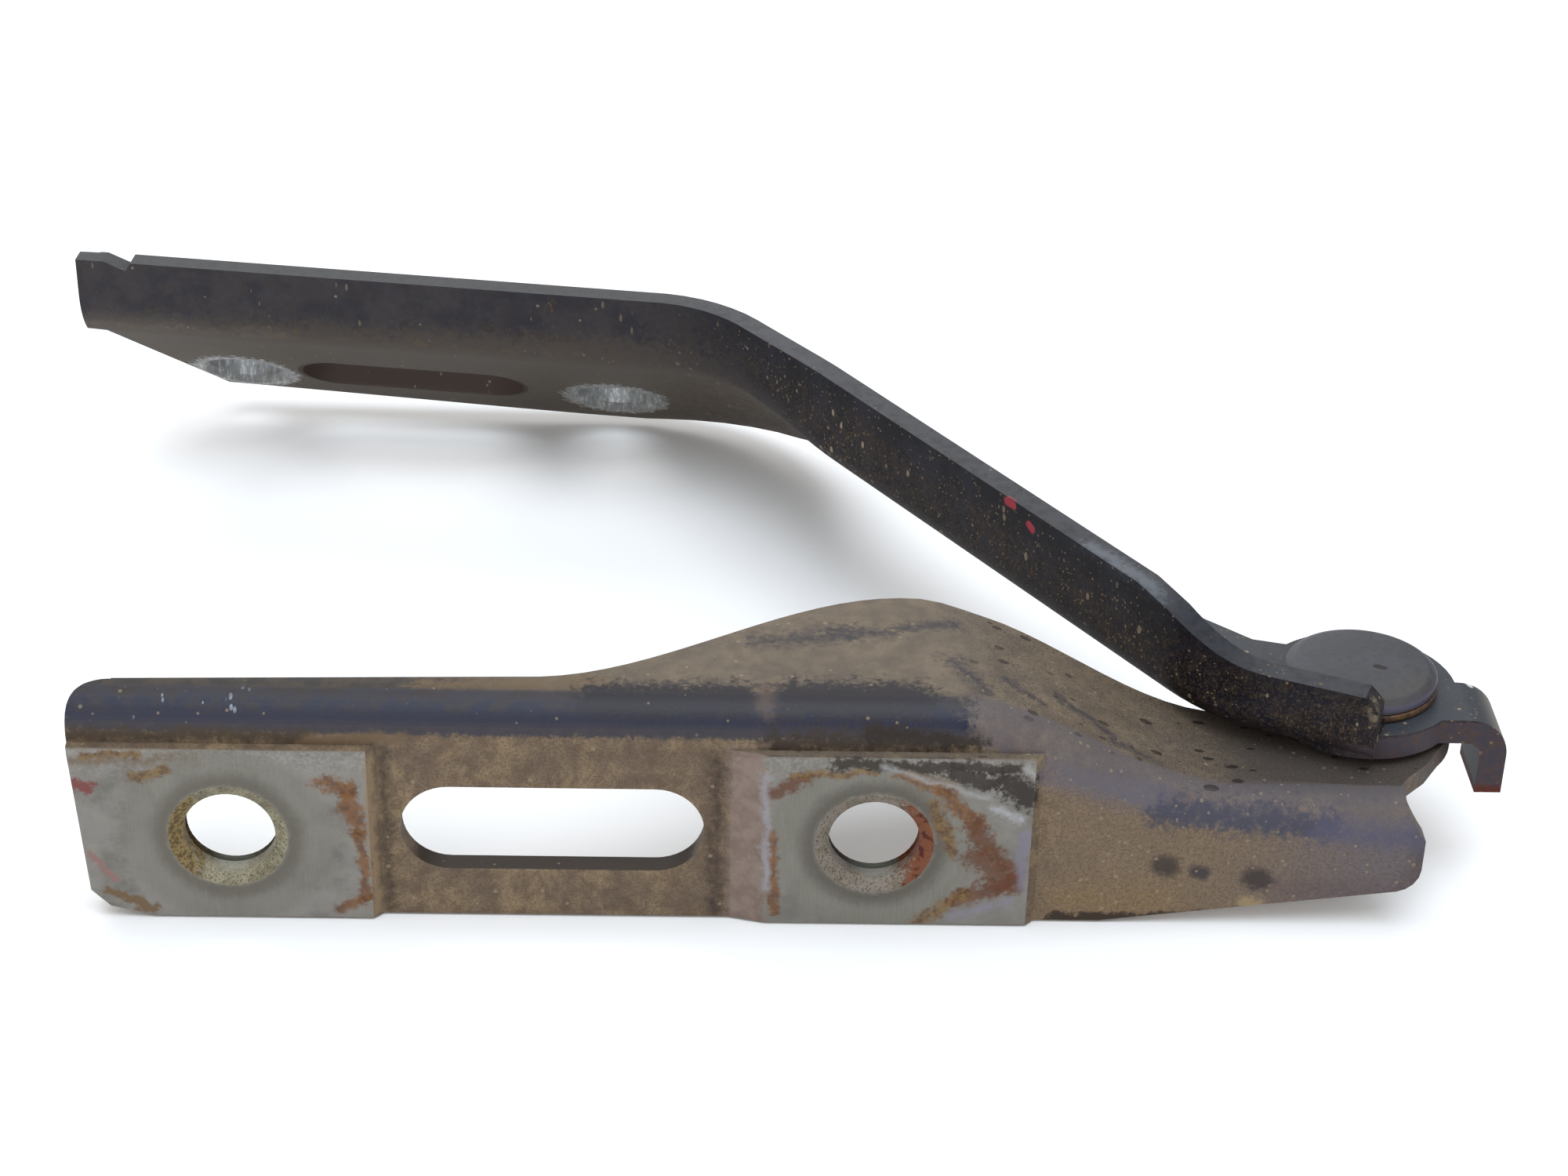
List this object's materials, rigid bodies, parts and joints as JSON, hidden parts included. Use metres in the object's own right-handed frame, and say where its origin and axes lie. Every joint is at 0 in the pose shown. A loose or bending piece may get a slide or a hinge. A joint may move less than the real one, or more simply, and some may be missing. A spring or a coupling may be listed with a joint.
{
  "type": "strap hinge",
  "caption": "Cranked strap hinge of folded sheet steel: a slotted body leaf and an angled bonnet leaf turn on a headed rivet, with a bent-down tab as the opening stop.",
  "frame": {"origin": "midway between the two body bolt holes, on the front face of the body leaf's flange; the bolting pads stand 1 mm in front of it", "axes": "+X along the body leaf towards the pivot, +Y away from the bolting side, +Z along the pivot towards the rivet's domed head"},
  "size_m": [0.174, 0.1229, 0.0317],
  "materials": {
    "body_leaf_paint": "worn dark coat under brown dirt, with bare pads",
    "bonnet_leaf_paint": "satin near-black coat, worn at its edges",
    "rivet_steel": "dull grey, lightly pitted",
    "bush_bronze": "dull golden brown, tarnished",
    "washer_steel": "dull zinc grey"
  },
  "bodies": {
    "body_side": {"lower_leaf": "body_leaf_paint", "pivot_rivet": "rivet_steel", "spacer_washer": "washer_steel", "tail_washer": "washer_steel"},
    "bonnet_side": {"upper_leaf": "bonnet_leaf_paint", "pivot_bush": "bush_bronze"}
  },
  "joints": [
    {"name": "bonnet_hinge", "type": "hinge", "parent": "body_side", "child": "bonnet_side", "pos_m": [0.09, 0.018, 0.008], "axis": [0, 0, 1], "range_deg": [-43, 10]}
  ]
}
